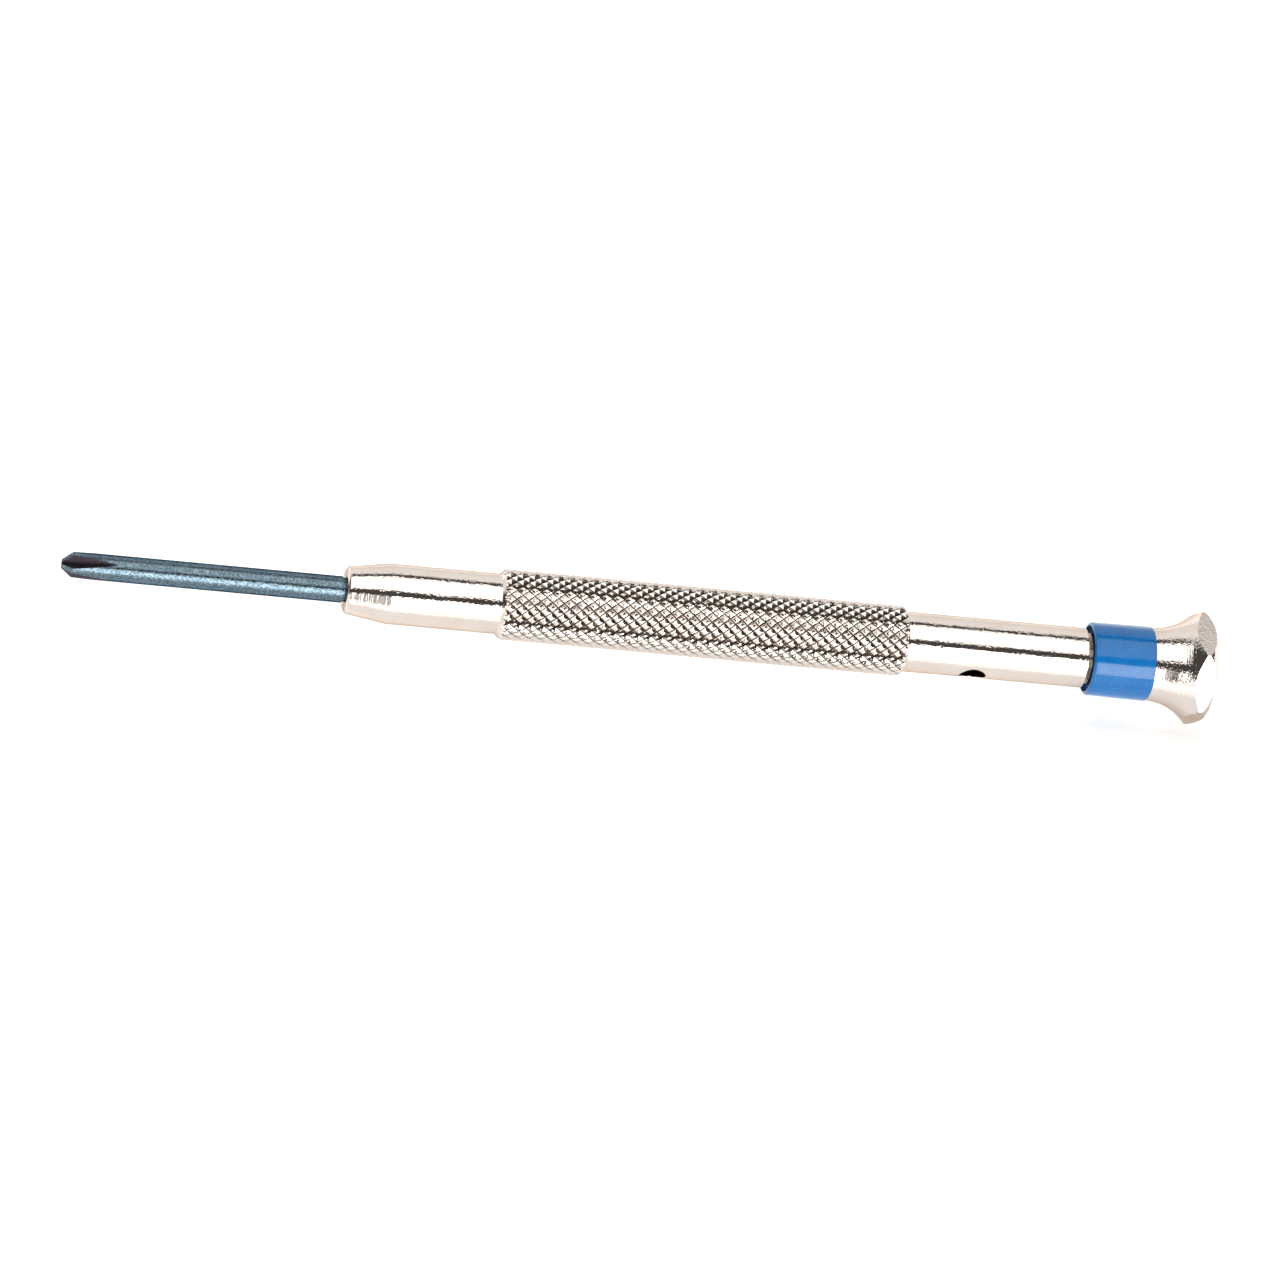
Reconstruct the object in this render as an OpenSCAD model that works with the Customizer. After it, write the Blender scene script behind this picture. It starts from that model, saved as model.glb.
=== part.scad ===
// Watchmaker screwdriver with a swivelling hexagonal head, all sizes in millimetres.
// The tool axis is X. The blade points to -X and the head is at +X.
// The origin is the centre of the handle's nose face. A flat of the head faces down, to -Z.

/* [Handle] */
// Nose face to the handle's rear end
handle_length = 71.28; // [50:0.01:100]
// Diameter of the two plain lengths
handle_d = 5.73; // [4:0.01:9]
// Diameter over the knurl's crests
knurl_d = 6.68; // [4.5:0.01:11]
// Nose face to the start of the knurl
knurl_start = 14.57; // [8:0.01:25]
// Length of the knurl with its two ends
knurl_length = 39.18; // [20:0.01:60]
// Length of the rounding at the knurl's rear end
knurl_round = 0.65; // [0.2:0.01:1.5]
// Nose face to the end of the long taper
nose_length = 4.12; // [2:0.01:8]
// Diameter where the nose rounding meets the taper
nose_d = 4.56; // [3.5:0.01:7]
// Diameter of the flat face at the nose
nose_face_d = 3.6; // [3:0.01:5]
// Axial length of the nose rounding
nose_round = 0.42; // [0.1:0.01:1]

/* [Blade] */
// Shank diameter
blade_d = 2.5; // [1.5:0.01:3.5]
// Tip to the nose face
blade_reach = 26.72; // [15:0.01:45]
// Length held inside the handle
blade_grip = 15.4; // [8:0.01:25]
// Diameter of the flat end of the tip
tip_d = 0.86; // [0.4:0.01:1.5]
// Length of the tip's cone
tip_cone = 1.0; // [0.5:0.01:2]
// Tip to where the four flutes run out
flute_length = 5.16; // [3:0.01:9]
// Distance from the axis to a flute's root at the tip
flute_root = 0.26; // [0.2:0.01:0.8]
// Length of the relief groove just inside the nose
relief_length = 0.8; // [0.6:0.01:2]
// Depth of the relief groove
relief_depth = 0.2; // [0.16:0.01:0.4]
// Depth of the clamping flat
flat_depth = 0.15; // [0.05:0.01:0.4]

/* [Head] */
// Gap between the handle and the colour ring
ring_gap = 0.40; // [0.1:0.01:1]
// Length of the colour ring
ring_length = 5.97; // [3:0.01:12]
// Front diameter of the colour ring
ring_front_d = 7.0; // [5.6:0.01:9]
// Rear diameter of the colour ring
ring_rear_d = 7.16; // [5.6:0.01:9]
// Radius of the ring's front lip
ring_lip = 0.28; // [0.05:0.01:0.6]
// Diameter of the shallow recess in the ring's front
recess_d = 6.34; // [5.2:0.01:6.7]
// Depth of the ring's front recess
recess_depth = 0.6; // [0.1:0.01:2]
// Diameter of the head's neck behind the ring
neck_d = 7.0; // [5.6:0.01:9]
// Length of the flare from the neck to the corners
flare_length = 4.55; // [3:0.01:8]
// Diameter across the hexagon's corners
corner_d = 11.3; // [9:0.01:15]
// Length from the corners to the back rim
dome_length = 1.2; // [0.6:0.01:2.5]
// Diameter of the back rim
rim_d = 9.4; // [7:0.01:12]
// Diameter of the finger dish in the back
dish_d = 8.6; // [5:0.01:11]
// Depth of the finger dish
dish_depth = 0.6; // [0.2:0.01:1.2]

/* [Swivel] */
// Spindle diameter
spindle_d = 3.0; // [2:0.01:3.6]
// Depth of the spindle's bore in the handle, without its cone
spindle_depth = 15.88; // [12:0.01:25]
// Length of the spindle pressed into the head
spindle_hold = 8.4; // [6.5:0.01:9.5]
// Diameter of the thrust ball
ball_d = 2.0; // [1.2:0.01:2.8]
// Diameter of the ring's seat on the head
seat_d = 4.8; // [4.2:0.01:5.4]
// Radial running clearance
running_gap = 0.03; // [0.02:0.005:0.06]

/* [Set screws] */
// Diameter of the blade clamp screw
clamp_d = 2.0; // [1.4:0.01:2.4]
// Diameter of the head retaining screw
retain_d = 2.5; // [1.6:0.01:3.2]
// Nose face to the blade clamp screw
clamp_x = 8.0; // [5:0.01:12]
// Handle's rear end to the head retaining screw
retain_back = 10.75; // [6:0.01:13]
// Angle of the retaining screw from straight up, towards -Y
retain_angle = 118; // [0:1:360]
// Width of the driver slots
slot_w = 0.4; // [0.25:0.01:0.7]
// Depth of the driver slots
slot_deep = 0.45; // [0.2:0.01:0.7]
// Distance from the top of a set screw to the handle's surface
screw_sink = 0.3; // [0.05:0.01:0.6]

/* [Hidden] */
$fn = 96;
cut = 0.5;
touch_gap = 0.01;
handle_r = handle_d / 2;
knurl_r = knurl_d / 2;
blade_r = blade_d / 2;
blade_bore_r = blade_r + running_gap;
face_r = max(nose_face_d / 2, blade_bore_r + 0.2);
shoulder_r = max(nose_d / 2, face_r + 0.3);
spindle_r = spindle_d / 2;
spindle_bore_r = spindle_r + running_gap;
seat_r = seat_d / 2;
ball_r = ball_d / 2;
drill_half_angle = 59;
knurl_chamfer = knurl_r - handle_r;
knurl_end = knurl_start + knurl_length;
bore_floor = handle_length - spindle_depth;
bore_tip = bore_floor - spindle_bore_r / tan(drill_half_angle);
ball_x = bore_tip + ball_r / sin(drill_half_angle) + touch_gap;
spindle_start = ball_x + ball_r + touch_gap;
ring_front_r = ring_front_d / 2;
ring_rear_r = ring_rear_d / 2;
ring_start = handle_length + ring_gap;
ring_end = ring_start + ring_length;
head_start = ring_start + 0.05;
spindle_end = head_start + spindle_hold;
corner_x = ring_end + flare_length;
head_end = corner_x + dome_length;
corner_r = corner_d / 2;
peak_r = corner_r + 0.08;
flare_rise = peak_r - neck_d / 2;
flare_r = (flare_length * flare_length + flare_rise * flare_rise) / (2 * flare_rise);
dish_r = (dish_d * dish_d / 4 + dish_depth * dish_depth) / (2 * dish_depth);
screw_top = handle_r - screw_sink;
dog_r = 0.26 * retain_d;
dog_play = 0.1;
groove_depth = 0.3 * spindle_r;
groove_r = spindle_r - groove_depth;
dog_end = groove_r + 0.07;
retain_x = handle_length - retain_back;
clamp_angle = retain_angle + 180;
flute_angle = 28;
flute_tilt = atan((blade_r - flute_root) / flute_length);

// Turns each profile, drawn with x along the tool and y as the radius about the tool axis.
module turned() {
    rotate([0, 90, 0])
        for (i = [0:$children - 1])
            rotate_extrude()
                mirror([1, -1, 0])
                    children(i);
}

// A cylinder along the tool axis from x0 to x1.
module rod(x0, x1, r) {
    translate([x0, 0, 0])
        rotate([0, 90, 0])
            cylinder(h = x1 - x0, r = r);
}

// Places children, drawn along +Z, at a distance along the tool and an angle from +Z to -Y.
module radial(x, angle) {
    translate([x, 0, 0])
        rotate([angle, 0, 0])
            children();
}

// A rounding: an ellipse with half sizes a along the tool and b in radius.
module rounding(x, r, a, b) {
    translate([x, r])
        scale([a, b])
            circle(r = 1);
}

// Nose face and taper, then the plain lengths with a small chamfer at the rear end.
module handle_profile() {
    polygon([[0, 0], [0, face_r], [nose_round, face_r], [nose_round, shoulder_r],
             [nose_length, handle_r], [handle_length - 0.15, handle_r],
             [handle_length, handle_r - 0.15], [handle_length, 0]]);
}

// The knurl's crest cylinder, chamfered in front.
module knurl_profile() {
    polygon([[knurl_start - 0.5, handle_r - 0.5], [knurl_start + knurl_chamfer, knurl_r],
             [knurl_end - knurl_round, knurl_r], [knurl_end - knurl_round, handle_r - 0.5]]);
}

// A tapped hole of radius r from the tool axis outwards, with a chamfered mouth.
module screw_hole(x, angle, r) {
    radial(x, angle) {
        cylinder(h = handle_r + cut, r = r);
        translate([0, 0, screw_top])
            cylinder(h = handle_r + cut - screw_top, r1 = r, r2 = r + 0.3);
    }
}

module handle_body() {
    color([0.80, 0.79, 0.76])
        difference() {
            turned() {
                handle_profile();
                rounding(nose_round, face_r, nose_round, shoulder_r - face_r);
                knurl_profile();
                rounding(knurl_end - knurl_round, handle_r, knurl_round, knurl_chamfer);
            }
            rod(-cut, blade_grip + 0.6, blade_bore_r);
            translate([blade_grip + 0.6, 0, 0])
                rotate([0, 90, 0])
                    cylinder(h = blade_bore_r / tan(drill_half_angle), r1 = blade_bore_r, r2 = 0);
            rod(bore_floor, handle_length + cut, spindle_bore_r);
            translate([bore_floor, 0, 0])
                rotate([0, -90, 0])
                    cylinder(h = bore_floor - bore_tip, r1 = spindle_bore_r, r2 = 0);
            screw_hole(clamp_x, clamp_angle, clamp_d / 2 + running_gap);
            screw_hole(retain_x, retain_angle, retain_d / 2 + running_gap);
        }
}

// One flute's cutter: a right-angled groove whose root climbs to the shank's surface.
module flute_cutter() {
    translate([-blade_reach, 0, flute_root])
        rotate([0, -flute_tilt, 0])
            rotate([45, 0, 0])
                translate([-cut, 0, 0])
                    cube([flute_length * 1.3 + cut, blade_d, blade_d]);
}

module blade() {
    color([0.22, 0.28, 0.36])
        difference() {
            union() {
                rod(tip_cone - blade_reach, 0, blade_r);
                rod(-1, relief_length + 1, blade_r - relief_depth);
                rod(relief_length, blade_grip - 0.3, blade_r);
                translate([-blade_reach, 0, 0])
                    rotate([0, 90, 0])
                        cylinder(h = tip_cone, r1 = tip_d / 2, r2 = blade_r);
                translate([blade_grip - 0.3, 0, 0])
                    rotate([0, 90, 0])
                        cylinder(h = 0.3, r1 = blade_r, r2 = blade_r - 0.3);
            }
            for (i = [0:3])
                rotate([flute_angle + 90 * i, 0, 0])
                    flute_cutter();
            radial(0, clamp_angle)
                translate([clamp_x - 3.5, -blade_r, blade_r - flat_depth])
                    cube([blade_grip + cut - clamp_x + 3.5, blade_d, blade_d]);
        }
}

// A headless slotted screw of radius r standing on +Z, from radius low to the screw's top.
module set_screw(r, low, tilt) {
    difference() {
        union() {
            translate([0, 0, low + 0.2])
                cylinder(h = screw_top - 0.12 - low - 0.2, r = r);
            translate([0, 0, low])
                cylinder(h = 0.2, r1 = r - 0.2, r2 = r);
            translate([0, 0, screw_top - 0.12])
                cylinder(h = 0.12, r1 = r, r2 = r - 0.12);
        }
        rotate([0, 0, tilt])
            translate([-r * 2, -slot_w / 2, screw_top - slot_deep])
                cube([r * 4, slot_w, slot_deep + cut]);
    }
}

module blade_clamp_screw() {
    color([0.50, 0.50, 0.50])
        radial(clamp_x, clamp_angle)
            set_screw(clamp_d / 2, blade_r - flat_depth + touch_gap, 25);
}

module head_retaining_screw() {
    color([0.50, 0.50, 0.50])
        radial(retain_x, retain_angle) {
            set_screw(retain_d / 2, spindle_bore_r + 0.05, 90);
            translate([0, 0, dog_end])
                cylinder(h = spindle_bore_r + 0.3 - dog_end, r = dog_r);
        }
}

module thrust_ball() {
    color([0.62, 0.62, 0.64])
        translate([ball_x, 0, 0])
            sphere(r = ball_r);
}

module head_spindle() {
    color([0.55, 0.55, 0.56])
        difference() {
            union() {
                translate([spindle_start, 0, 0])
                    rotate([0, 90, 0])
                        cylinder(h = 0.3, r1 = spindle_r - 0.3, r2 = spindle_r);
                rod(spindle_start + 0.3, spindle_end - 0.2, spindle_r);
                translate([spindle_end - 0.2, 0, 0])
                    rotate([0, 90, 0])
                        cylinder(h = 0.2, r1 = spindle_r, r2 = spindle_r - 0.2);
            }
            translate([retain_x - dog_r - dog_play, 0, 0])
                rotate([0, 90, 0])
                    difference() {
                        cylinder(h = 2 * (dog_r + dog_play), r = spindle_r + cut);
                        translate([0, 0, -cut])
                            cylinder(h = 2 * (dog_r + dog_play + cut), r = groove_r);
                    }
        }
}

module ring_profile() {
    bore_r = seat_r + touch_gap;
    recess_r = min(recess_d / 2, ring_front_r - ring_lip - 0.05);
    polygon([[recess_depth, bore_r], [recess_depth, recess_r], [0, recess_r],
             [0, ring_front_r - ring_lip], [ring_lip, ring_front_r - ring_lip],
             [ring_lip, ring_front_r], [ring_length - 0.1, ring_rear_r],
             [ring_length, ring_rear_r - 0.1], [ring_length, bore_r]]);
}

module colour_ring() {
    color([0.10, 0.33, 0.68])
        translate([ring_start, 0, 0])
            turned() {
                ring_profile();
                rounding(ring_lip, ring_front_r - ring_lip, ring_lip, ring_lip);
            }
}

// The ring's seat, with x measured from the ring's rear end.
module seat_profile() {
    translate([head_start - ring_end, 0])
        square([ring_end - head_start + 1, seat_r]);
}

// The flared body, with a shallow dome from the corners to the back rim.
module flare_profile() {
    difference() {
        polygon([[0, 0], [0, peak_r], [flare_length, peak_r],
                 [flare_length + dome_length * 0.5, (peak_r + rim_d / 2) / 2 + 0.1],
                 [flare_length + dome_length, rim_d / 2], [flare_length + dome_length, 0]]);
        translate([0, neck_d / 2 + flare_r])
            circle(r = flare_r);
    }
}

module swivel_head() {
    color([0.80, 0.79, 0.76])
        difference() {
            intersection() {
                translate([ring_end, 0, 0])
                    turned() {
                        seat_profile();
                        flare_profile();
                    }
                translate([head_start - cut, 0, 0])
                    rotate([0, 90, 0])
                        rotate([0, 0, 30])
                            cylinder(h = head_end - head_start + 2 * cut, r = corner_r, $fn = 6);
            }
            rod(head_start - cut, spindle_end + 0.2, spindle_r + touch_gap);
            translate([head_end - dish_depth + dish_r, 0, 0])
                sphere(r = dish_r);
        }
}

handle_body();
blade();
blade_clamp_screw();
head_retaining_screw();
thrust_ball();
head_spindle();
colour_ring();
swivel_head();
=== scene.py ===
"""Looks for the watchmaker screwdriver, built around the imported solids.

Sizes are in millimetres and are turned into metres as each mesh is made. Only the floor, the lamp
and the camera's place are in metres. The tool axis is X, the blade points to -X and the head is at +X.
An angle round the axis is measured from straight up (+Z) towards -Y.
"""

import math

import bmesh
import bpy
from mathutils import Matrix, Vector


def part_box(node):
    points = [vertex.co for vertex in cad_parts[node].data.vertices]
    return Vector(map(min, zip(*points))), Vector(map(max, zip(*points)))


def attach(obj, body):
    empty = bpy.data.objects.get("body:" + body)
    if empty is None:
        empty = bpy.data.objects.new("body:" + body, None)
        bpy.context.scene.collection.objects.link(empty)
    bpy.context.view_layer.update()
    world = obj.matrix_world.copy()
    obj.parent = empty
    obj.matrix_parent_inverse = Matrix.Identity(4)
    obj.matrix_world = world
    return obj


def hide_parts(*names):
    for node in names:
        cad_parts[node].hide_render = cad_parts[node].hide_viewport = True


MM = 0.001

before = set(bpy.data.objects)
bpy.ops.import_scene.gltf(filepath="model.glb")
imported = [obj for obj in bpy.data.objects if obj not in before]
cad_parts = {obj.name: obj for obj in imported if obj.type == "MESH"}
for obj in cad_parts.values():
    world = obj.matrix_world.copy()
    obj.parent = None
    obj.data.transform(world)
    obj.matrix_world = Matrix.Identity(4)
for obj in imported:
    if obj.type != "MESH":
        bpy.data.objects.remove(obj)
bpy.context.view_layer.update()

# ---------------------------------------------------------------- sizes, as in the solids

HANDLE_R = 2.865
KNURL_R = 3.34
HANDLE_END = 71.28
NOSE_FACE_R = 1.8
NOSE_ROUND = 0.42
NOSE_R = 2.28
NOSE_END = 4.12
KNURL_START = 14.57
KNURL_END = 53.75
KNURL_ROUND = 0.65
BLADE_R = 1.25
BLADE_BORE_R = 1.28
BLADE_BORE_END = 16.0
SPINDLE_BORE_R = 1.53
SPINDLE_BORE_END = 55.4
BLADE_TIP = -26.72
BLADE_GRIP = 15.4
CLAMP_X = 8.0
CLAMP_ANGLE = 298.0
CLAMP_R = 1.0
RETAIN_X = 60.53
RETAIN_ANGLE = 118.0
RETAIN_R = 1.25
RING_START = 71.68
RING_END = 77.65
RING_FRONT_R = 3.5
RING_REAR_R = 3.58
RING_BORE_R = 2.41
SEAT_R = 2.4
NECK_R = 3.5
CORNER_X = 82.20
CORNER_R = 5.65
PEAK_R = 5.73
HEAD_END = 83.40
RIM_R = 4.7
DISH_R = 4.3
DISH_DEPTH = 0.6
KNURL_PITCH = 1.135
KNURL_STARTS = 21
HEAD_BORE_R = 1.51
HEAD_BORE_END = 80.35

# ---------------------------------------------------------------- mesh helpers


def make_object(name, skin, body, material, sharp_deg, stands_for, second=None):
    """A smooth-shaded mesh with sharp edges above an angle, riding on a body.

    second is another material and the numbers of the faces that have it.
    """
    mesh = bpy.data.meshes.new(name)
    mesh.from_pydata([tuple(v * MM for v in p) for p in skin.verts], [], skin.faces)
    mesh.materials.append(material)
    if second:
        mesh.materials.append(second[0])
        for i in second[1]:
            mesh.polygons[i].material_index = 1
    # join points that meet, drop points inside the windows, and turn every face outwards
    bm = bmesh.new()
    bm.from_mesh(mesh)
    bmesh.ops.remove_doubles(bm, verts=bm.verts, dist=0.0002 * MM)
    bmesh.ops.delete(bm, geom=[v for v in bm.verts if not v.link_faces], context="VERTS")
    bmesh.ops.recalc_face_normals(bm, faces=bm.faces)
    bm.to_mesh(mesh)
    bm.free()
    mesh.polygons.foreach_set("use_smooth", [True] * len(mesh.polygons))
    mesh.set_sharp_from_angle(angle=math.radians(sharp_deg))
    obj = bpy.data.objects.new(name, mesh)
    bpy.context.scene.collection.objects.link(obj)
    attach(obj, body)
    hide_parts(stands_for)
    return obj


class Skin:
    """Vertices and faces gathered while a mesh is put together, in millimetres."""

    def __init__(self):
        self.verts = []
        self.faces = []

    def add(self, x, r, angle):
        """A vertex at a distance along the tool, a radius and an angle in radians."""
        self.verts.append((x, -r * math.sin(angle), r * math.cos(angle)))
        return len(self.verts) - 1

    def point(self, p):
        """A vertex at a place given as x, y and z."""
        self.verts.append(tuple(p))
        return len(self.verts) - 1

    def ring(self, x, r, count, phase=0.0):
        """A circle of vertices around the tool axis."""
        return [self.add(x, r, phase + 2 * math.pi * j / count) for j in range(count)]

    def bridge(self, a, b):
        """Quads between two closed loops of the same length."""
        n = len(a)
        for j in range(n):
            k = (j + 1) % n
            self.faces.append((a[j], a[k], b[k], b[j]))

    def fan(self, loop, centre, flip=False):
        """Triangles between a closed loop and one vertex."""
        n = len(loop)
        for j in range(n):
            k = (j + 1) % n
            self.faces.append((loop[k], loop[j], centre) if flip else (loop[j], loop[k], centre))


def arc(x0, r0, x1, r1, steps, bulge):
    """Points of a quarter ellipse from (x0, r0) to (x1, r1), without the first point.

    bulge "x_first" leaves the first point along x, and "r_first" leaves it along r.
    """
    out = []
    for k in range(1, steps + 1):
        t = k / steps * math.pi / 2
        if bulge == "x_first":
            out.append((x0 + (x1 - x0) * math.sin(t), r0 + (r1 - r0) * (1 - math.cos(t))))
        else:
            out.append((x0 + (x1 - x0) * (1 - math.cos(t)), r0 + (r1 - r0) * math.sin(t)))
    return out


# ---------------------------------------------------------------- materials


class Nodes:
    """Adds nodes to a material or world and links them."""

    def __init__(self, owner):
        owner.use_nodes = True
        self.tree = owner.node_tree
        self.tree.nodes.clear()

    def new(self, kind, inputs=None, **props):
        """A node with its properties set and its inputs filled."""
        n = self.tree.nodes.new(kind)
        for key, value in props.items():
            setattr(n, key, value)
        for key, value in (inputs or {}).items():
            self.put(n.inputs[key], value)
        return n

    def put(self, socket, value):
        """Links another node's output to a socket, or sets the socket to a plain value."""
        if isinstance(value, bpy.types.NodeSocket):
            self.tree.links.new(value, socket)
        else:
            socket.default_value = value

    def math(self, op, a, b=0.0):
        """The result of a sum, product or other operation on two values."""
        n = self.new("ShaderNodeMath", operation=op)
        self.put(n.inputs[0], a)
        self.put(n.inputs[1], b)
        return n.outputs[0]

    def smooth(self, value, lo, hi, out_lo=0.0, out_hi=1.0):
        """A soft step from out_lo to out_hi as the value goes from lo to hi."""
        n = self.new("ShaderNodeMapRange", interpolation_type="SMOOTHSTEP")
        for key, v in (("Value", value), ("From Min", lo), ("From Max", hi),
                       ("To Min", out_lo), ("To Max", out_hi)):
            self.put(n.inputs[key], v)
        return n.outputs["Result"]

    def band(self, value, lo, hi, soft):
        """1 between lo and hi, 0 outside, with soft edges."""
        up = self.smooth(value, lo - soft, lo + soft)
        down = self.smooth(value, hi - soft, hi + soft, 1.0, 0.0)
        return self.math("MULTIPLY", up, down)

    def noise(self, vector, scale, detail=2.0, roughness=0.5):
        """Cloudy values from 0 to 1."""
        n = self.new("ShaderNodeTexNoise", {"Scale": scale, "Detail": detail, "Roughness": roughness})
        self.put(n.inputs["Vector"], vector)
        return n.outputs["Fac"]

    def mix(self, fac, a, b):
        """A colour between a, at 0, and b, at 1."""
        n = self.new("ShaderNodeMix", data_type="RGBA")
        self.put(n.inputs[0], fac)
        self.put(n.inputs[6], a)
        self.put(n.inputs[7], b)
        return n.outputs[2]


def shader(name):
    """A new material with its helper, its object coordinates in millimetres, and its output."""
    mat = bpy.data.materials.new(name)
    n = Nodes(mat)
    where = n.new("ShaderNodeTexCoord").outputs["Object"]
    scaled = n.new("ShaderNodeVectorMath", operation="SCALE")
    n.put(scaled.inputs[0], where)
    scaled.inputs["Scale"].default_value = 1000.0
    out = n.new("ShaderNodeOutputMaterial")
    return mat, n, scaled.outputs[0], out


def stretched(n, vector, sx, sy, sz):
    """The vector with each axis multiplied, to stretch a pattern."""
    v = n.new("ShaderNodeVectorMath", operation="MULTIPLY")
    n.put(v.inputs[0], vector)
    v.inputs[1].default_value = (sx, sy, sz)
    return v.outputs[0]


def nickel_material(name, ripple, turning, from_x, to_x, roughness=(0.03, 0.07), painted_groove_shade=None):
    """Bright nickel plating on turned brass.

    ripple is the strength of the fine waviness, and turning that of the lathe rings, which show
    between two distances along the tool. The last argument holds two distances along the tool and
    two radii: the base colour is darkened towards the lower radius, as painted shade in the grooves.
    """
    mat, n, p, out = shader(name)
    cloud = n.noise(p, 0.35, 3.0)
    tint = n.mix(n.smooth(cloud, 0.35, 0.65), (0.73, 0.65, 0.595, 1), (0.755, 0.69, 0.64, 1))
    along = n.new("ShaderNodeSeparateXYZ", {0: p}).outputs["X"]
    if painted_groove_shade:
        start, end, deep, high = painted_groove_shade
        radius = n.new("ShaderNodeVectorMath", {0: stretched(n, p, 0.0, 1.0, 1.0)}, operation="LENGTH")
        # painted shade: the base colour turns near black towards the bottom of the knurl's grooves
        painted_shade = n.math("MULTIPLY", n.smooth(radius.outputs["Value"], deep, high, 1.0, 0.0),
                      n.band(along, start, end, 0.02))
        tint = n.mix(painted_shade, tint, (0.05, 0.042, 0.035, 1))
    smear = n.noise(stretched(n, p, 0.4, 2.0, 2.0), 1.3, 4.0, 0.6)
    rough = n.smooth(smear, 0.3, 0.8, *roughness)
    orange_peel = n.noise(p, 1.6, 1.0, 0.5)
    grain = n.noise(p, 5.0, 1.0, 0.5)
    rings = n.noise(stretched(n, p, 1.0, 0.05, 0.05), 3.2, 3.0, 0.65)
    rings = n.math("MULTIPLY", n.math("SUBTRACT", rings, 0.5), n.band(along, from_x, to_x, 0.05))
    height = n.math("ADD", n.math("MULTIPLY", orange_peel, 1.2), n.math("MULTIPLY", grain, 1.6))
    height = n.math("ADD", n.math("MULTIPLY", height, ripple), n.math("MULTIPLY", rings, turning))
    bump = n.new("ShaderNodeBump", {"Strength": 1.0, "Distance": 0.00001})
    n.put(bump.inputs["Height"], height)
    b = n.new("ShaderNodeBsdfPrincipled", {"Metallic": 1.0, "Base Color": tint, "Roughness": rough,
                                           "Specular Tint": (0.55, 0.48, 0.42, 1)})
    n.put(b.inputs["Normal"], bump.outputs["Normal"])
    n.put(out.inputs["Surface"], b.outputs[0])
    return mat


def blued_steel_material():
    """Blued steel, mottled and a little rough."""
    mat, n, p, out = shader("blued_steel")
    mottle = n.noise(p, 1.2, 4.0, 0.6)
    grit = n.noise(stretched(n, p, 0.6, 1.0, 1.0), 6.5, 3.0, 0.7)
    colour = n.mix(n.smooth(mottle, 0.3, 0.7), (0.15, 0.22, 0.265, 1), (0.21, 0.285, 0.34, 1))
    colour = n.mix(n.smooth(grit, 0.35, 0.65), (0.07, 0.105, 0.13, 1), colour)
    bump = n.new("ShaderNodeBump", {"Strength": 1.0, "Distance": 0.00001})
    n.put(bump.inputs["Height"], n.math("MULTIPLY", grit, 2.2))
    rough = n.smooth(grit, 0.25, 0.75, 0.09, 0.16)
    b = n.new("ShaderNodeBsdfPrincipled", {"Metallic": 1.0, "Base Color": colour, "Roughness": rough,
                                           "Specular Tint": (0.10, 0.11, 0.13, 1)})
    n.put(b.inputs["Normal"], bump.outputs["Normal"])
    n.put(out.inputs["Surface"], b.outputs[0])
    return mat


def flute_material():
    """The ground flutes: duller, darker and a little brown."""
    mat, n, p, out = shader("blued_steel_flutes")
    cloud = n.noise(p, 2.5, 4.0, 0.6)
    colour = n.mix(n.smooth(cloud, 0.3, 0.7), (0.050, 0.042, 0.052, 1), (0.085, 0.07, 0.085, 1))
    bump = n.new("ShaderNodeBump", {"Strength": 1.0, "Distance": 0.00001})
    n.put(bump.inputs["Height"],
          n.math("MULTIPLY", n.noise(stretched(n, p, 4.0, 1.0, 1.0), 6.0, 3.0), 1.5))
    rough = n.smooth(cloud, 0.3, 0.7, 0.4, 0.5)
    b = n.new("ShaderNodeBsdfPrincipled", {"Metallic": 1.0, "Base Color": colour, "Roughness": rough})
    n.put(b.inputs["Normal"], bump.outputs["Normal"])
    n.put(out.inputs["Surface"], b.outputs[0])
    return mat


def screw_material():
    """Oiled, blackened screws."""
    mat, n, p, out = shader("blackened_screw")
    cloud = n.noise(p, 3.0, 3.0)
    colour = n.mix(n.smooth(cloud, 0.3, 0.7), (0.004, 0.003, 0.003, 1), (0.03, 0.016, 0.008, 1))
    bump = n.new("ShaderNodeBump", {"Strength": 1.0, "Distance": 0.00001})
    n.put(bump.inputs["Height"], n.noise(p, 8.0, 3.0))
    rough = n.smooth(cloud, 0.3, 0.7, 0.3, 0.45)
    b = n.new("ShaderNodeBsdfPrincipled", {"Metallic": 1.0, "Base Color": colour, "Roughness": rough,
                                           "Specular Tint": (0.02, 0.015, 0.01, 1)})
    n.put(b.inputs["Normal"], bump.outputs["Normal"])
    n.put(out.inputs["Surface"], b.outputs[0])
    return mat


def blue_plastic_material():
    """The ring's plastic, with a few pale specks."""
    mat, n, p, out = shader("blue_plastic")
    cloud = n.noise(p, 0.8, 2.0)
    blue = n.mix(n.smooth(cloud, 0.3, 0.7), (0.001, 0.104, 0.315, 1), (0.002, 0.116, 0.345, 1))
    dust = n.smooth(n.noise(p, 9.0, 2.0, 0.7), 0.66, 0.72)
    colour = n.mix(n.math("MULTIPLY", dust, 0.5), blue, (0.45, 0.62, 0.85, 1))
    rough = n.smooth(n.noise(stretched(n, p, 0.5, 2.0, 2.0), 2.0, 3.0), 0.3, 0.7, 0.10, 0.17)
    bump = n.new("ShaderNodeBump", {"Strength": 1.0, "Distance": 0.00001})
    n.put(bump.inputs["Height"], n.math("MULTIPLY", n.noise(p, 4.0, 3.0), 0.5))
    b = n.new("ShaderNodeBsdfPrincipled", {"Base Color": colour, "Roughness": rough, "IOR": 1.45})
    n.put(b.inputs["Normal"], bump.outputs["Normal"])
    n.put(out.inputs["Surface"], b.outputs[0])
    return mat


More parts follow.
